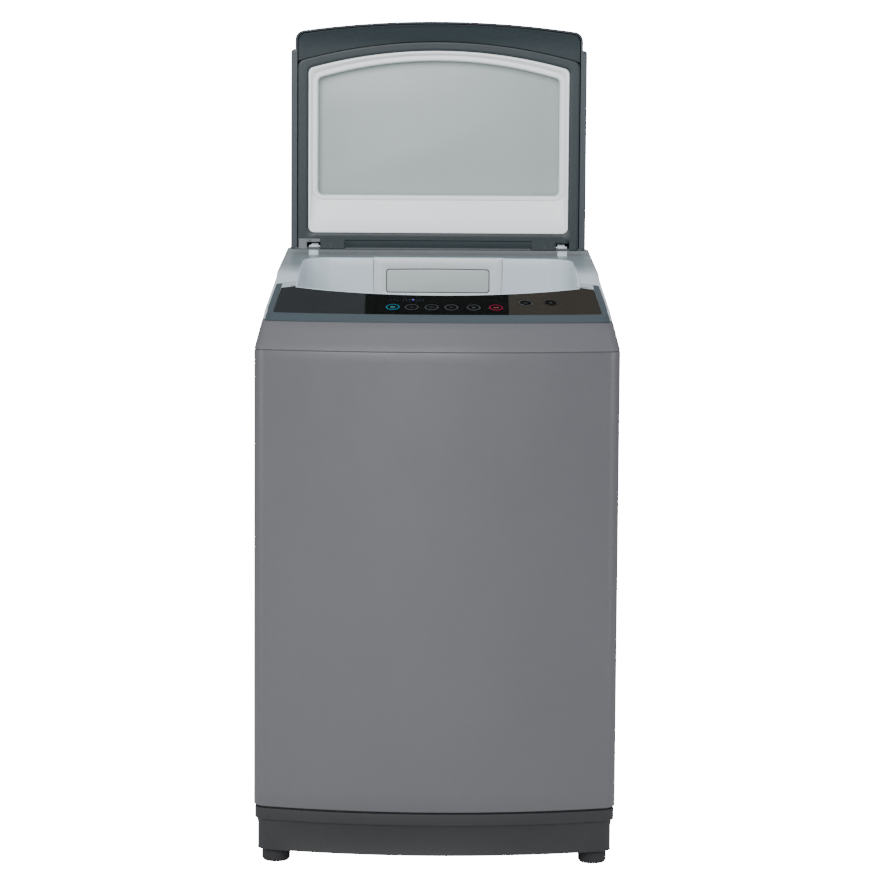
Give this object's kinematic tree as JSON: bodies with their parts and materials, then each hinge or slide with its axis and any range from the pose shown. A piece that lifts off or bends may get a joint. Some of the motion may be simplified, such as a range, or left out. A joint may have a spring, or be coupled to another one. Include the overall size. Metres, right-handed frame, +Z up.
{
  "type": "top load washing machine",
  "caption": "Free-standing top load washing machine with a bulged steel cabinet, sloping control strip, hinged window lid, detergent drawer and a spinning basket in a sprung tub.",
  "frame": {"origin": "on the floor, under the middle of the machine's width and depth", "axes": "+X to the right as you face the machine, +Y towards the back, +Z up; the lid stands open at rest"},
  "size_m": [0.56, 0.59, 1.306],
  "materials": {
    "painted_steel": "satin grey powder coat",
    "dark_base": "moulded dark grey",
    "cover_plastic": "glossy pale blue-grey",
    "fascia_plastic": "grey to match the cabinet",
    "trim_plastic": "blue-grey satin",
    "control_film": "dark glossy film",
    "display_lens": "dark clear lens",
    "circuit_board": "green board",
    "white_plastic": "white moulding",
    "lid_plastic": "dark blue-grey gloss",
    "lid_glass": "frosted pale grey",
    "damper_plastic": "pale grey",
    "button_plastic": "dark key with a metal ring",
    "bare_steel": "zinc plated",
    "basket_steel": "stainless",
    "tub_plastic": "white polypropylene",
    "cast_aluminium": "die cast",
    "motor_iron": "black paint",
    "rubber_black": "matt rubber",
    "dark_plastic": "moulded black",
    "pulsator_plastic": "pale blue-grey",
    "filter_plastic": "pale blue"
  },
  "bodies": {
    "cabinet": {"cabinet_wrapper": "painted_steel", "rear_panel": "painted_steel", "service_cover": "painted_steel", "base_frame": "dark_base", "corner_brackets": "bare_steel", "front_fascia": "fascia_plastic", "top_cover": "cover_plastic", "trim_frame": "trim_plastic", "control_film": "control_film", "display_window": "display_lens", "control_board": "circuit_board", "drawer_housing": "white_plastic", "inlet_valve": "white_plastic", "pressure_switch": "white_plastic", "drain_outlet": "dark_plastic", "cord_gland": "rubber_black", "lid_switch": "white_plastic", "case_screws": "bare_steel", "lock_nuts": "bare_steel", "suspension_rods": "bare_steel", "suspension_springs": "bare_steel", "drain_hose": "rubber_black"},
    "tub_unit": {"outer_tub": "tub_plastic", "tub_ring": "tub_plastic", "tub_bracket": "bare_steel", "gearcase": "cast_aluminium", "drive_belt": "rubber_black", "motor": "motor_iron", "drain_pump": "dark_plastic", "spring_cups": "white_plastic"},
    "basket": {"wash_basket": "basket_steel", "basket_hub": "tub_plastic", "balance_ring": "white_plastic", "lint_filters": "filter_plastic"},
    "pulsator_unit": {"pulsator": "pulsator_plastic", "drive_shaft": "bare_steel", "pulsator_screw": "bare_steel"},
    "input_drive": {"input_pulley": "cast_aluminium"},
    "motor_rotor": {"motor_pulley": "cast_aluminium"},
    "drawer": {"detergent_drawer": "pulsator_plastic", "drawer_front": "cover_plastic"},
    "lid": {"lid_outer_shell": "lid_plastic", "lid_inner_shell": "lid_plastic", "lid_inner_frame": "white_plastic", "lid_glass": "lid_glass", "lid_handle": "lid_plastic", "hinge_pins": "bare_steel", "damper_cover": "damper_plastic"},
    "button_1": {"button_1": "button_plastic"},
    "button_2": {"button_2": "button_plastic"},
    "button_3": {"button_3": "button_plastic"},
    "button_4": {"button_4": "button_plastic"},
    "button_5": {"button_5": "button_plastic"},
    "button_6": {"button_6": "button_plastic"},
    "button_7": {"button_7": "button_plastic"},
    "button_8": {"button_8": "button_plastic"},
    "foot_front_left": {"foot_front_left": "rubber_black"},
    "foot_front_right": {"foot_front_right": "rubber_black"},
    "foot_rear_left": {"foot_rear_left": "rubber_black"},
    "foot_rear_right": {"foot_rear_right": "rubber_black"}
  },
  "joints": [
    {"name": "tub_bounce", "type": "slide", "parent": "cabinet", "child": "tub_unit", "axis": [0, 0, 1], "range_m": [-0.016, 0.01], "stiffness_N_per_m": 14400, "springref_m": 0.0198, "deforming": ["suspension_springs"]},
    {"name": "basket_spin", "type": "hinge", "parent": "tub_unit", "child": "basket", "pos_m": [0, 0, 0.3], "axis": [0, 0, 1], "continuous": true},
    {"name": "pulsator_spin", "type": "hinge", "parent": "tub_unit", "child": "pulsator_unit", "pos_m": [0, 0, 0.3], "axis": [0, 0, 1], "continuous": true},
    {"name": "input_spin", "type": "hinge", "parent": "tub_unit", "child": "input_drive", "pos_m": [0, 0, 0.117], "axis": [0, 0, 1], "continuous": true},
    {"name": "motor_spin", "type": "hinge", "parent": "tub_unit", "child": "motor_rotor", "pos_m": [-0.1521, 0.1105, 0.117], "axis": [0, 0, 1], "continuous": true},
    {"name": "drawer_slide", "type": "slide", "parent": "cabinet", "child": "drawer", "axis": [0, -1, 0], "range_m": [0, 0.11]},
    {"name": "lid_hinge", "type": "hinge", "parent": "cabinet", "child": "lid", "pos_m": [0, 0.185, 0.93602], "axis": [1, 0, 0], "range_deg": [0, 93.7]},
    {"name": "button_1_press", "type": "slide", "parent": "cabinet", "child": "button_1", "axis": [0.0288, 0.3499, -0.9363], "range_m": [0, 0.001], "stiffness_N_per_m": 400, "springref_m": -0.0005},
    {"name": "button_2_press", "type": "slide", "parent": "cabinet", "child": "button_2", "axis": [0.0166, 0.3507, -0.9363], "range_m": [0, 0.001], "stiffness_N_per_m": 400, "springref_m": -0.0005},
    {"name": "button_3_press", "type": "slide", "parent": "cabinet", "child": "button_3", "axis": [0.0038, 0.3511, -0.9363], "range_m": [0, 0.001], "stiffness_N_per_m": 400, "springref_m": -0.0005},
    {"name": "button_4_press", "type": "slide", "parent": "cabinet", "child": "button_4", "axis": [-0.0088, 0.351, -0.9363], "range_m": [0, 0.001], "stiffness_N_per_m": 400, "springref_m": -0.0005},
    {"name": "button_5_press", "type": "slide", "parent": "cabinet", "child": "button_5", "axis": [-0.0231, 0.3504, -0.9363], "range_m": [0, 0.001], "stiffness_N_per_m": 400, "springref_m": -0.0005},
    {"name": "button_6_press", "type": "slide", "parent": "cabinet", "child": "button_6", "axis": [-0.0376, 0.3491, -0.9363], "range_m": [0, 0.001], "stiffness_N_per_m": 400, "springref_m": -0.0005},
    {"name": "button_7_press", "type": "slide", "parent": "cabinet", "child": "button_7", "axis": [-0.0579, 0.3463, -0.9363], "range_m": [0, 0.001], "stiffness_N_per_m": 400, "springref_m": -0.0005},
    {"name": "button_8_press", "type": "slide", "parent": "cabinet", "child": "button_8", "axis": [-0.0746, 0.3431, -0.9363], "range_m": [0, 0.001], "stiffness_N_per_m": 400, "springref_m": -0.0005},
    {"name": "foot_front_left_level", "type": "slide", "parent": "cabinet", "child": "foot_front_left", "axis": [0, 0, -1], "range_m": [0, 0.012]},
    {"name": "foot_front_right_level", "type": "slide", "parent": "cabinet", "child": "foot_front_right", "axis": [0, 0, -1], "range_m": [0, 0.012]},
    {"name": "foot_rear_left_level", "type": "slide", "parent": "cabinet", "child": "foot_rear_left", "axis": [0, 0, -1], "range_m": [0, 0.012]},
    {"name": "foot_rear_right_level", "type": "slide", "parent": "cabinet", "child": "foot_rear_right", "axis": [0, 0, -1], "range_m": [0, 0.012]}
  ],
  "couplings": [
    {"joint": "input_spin", "follows": "pulsator_spin", "ratio": 5},
    {"joint": "motor_spin", "follows": "pulsator_spin", "ratio": 15}
  ]
}
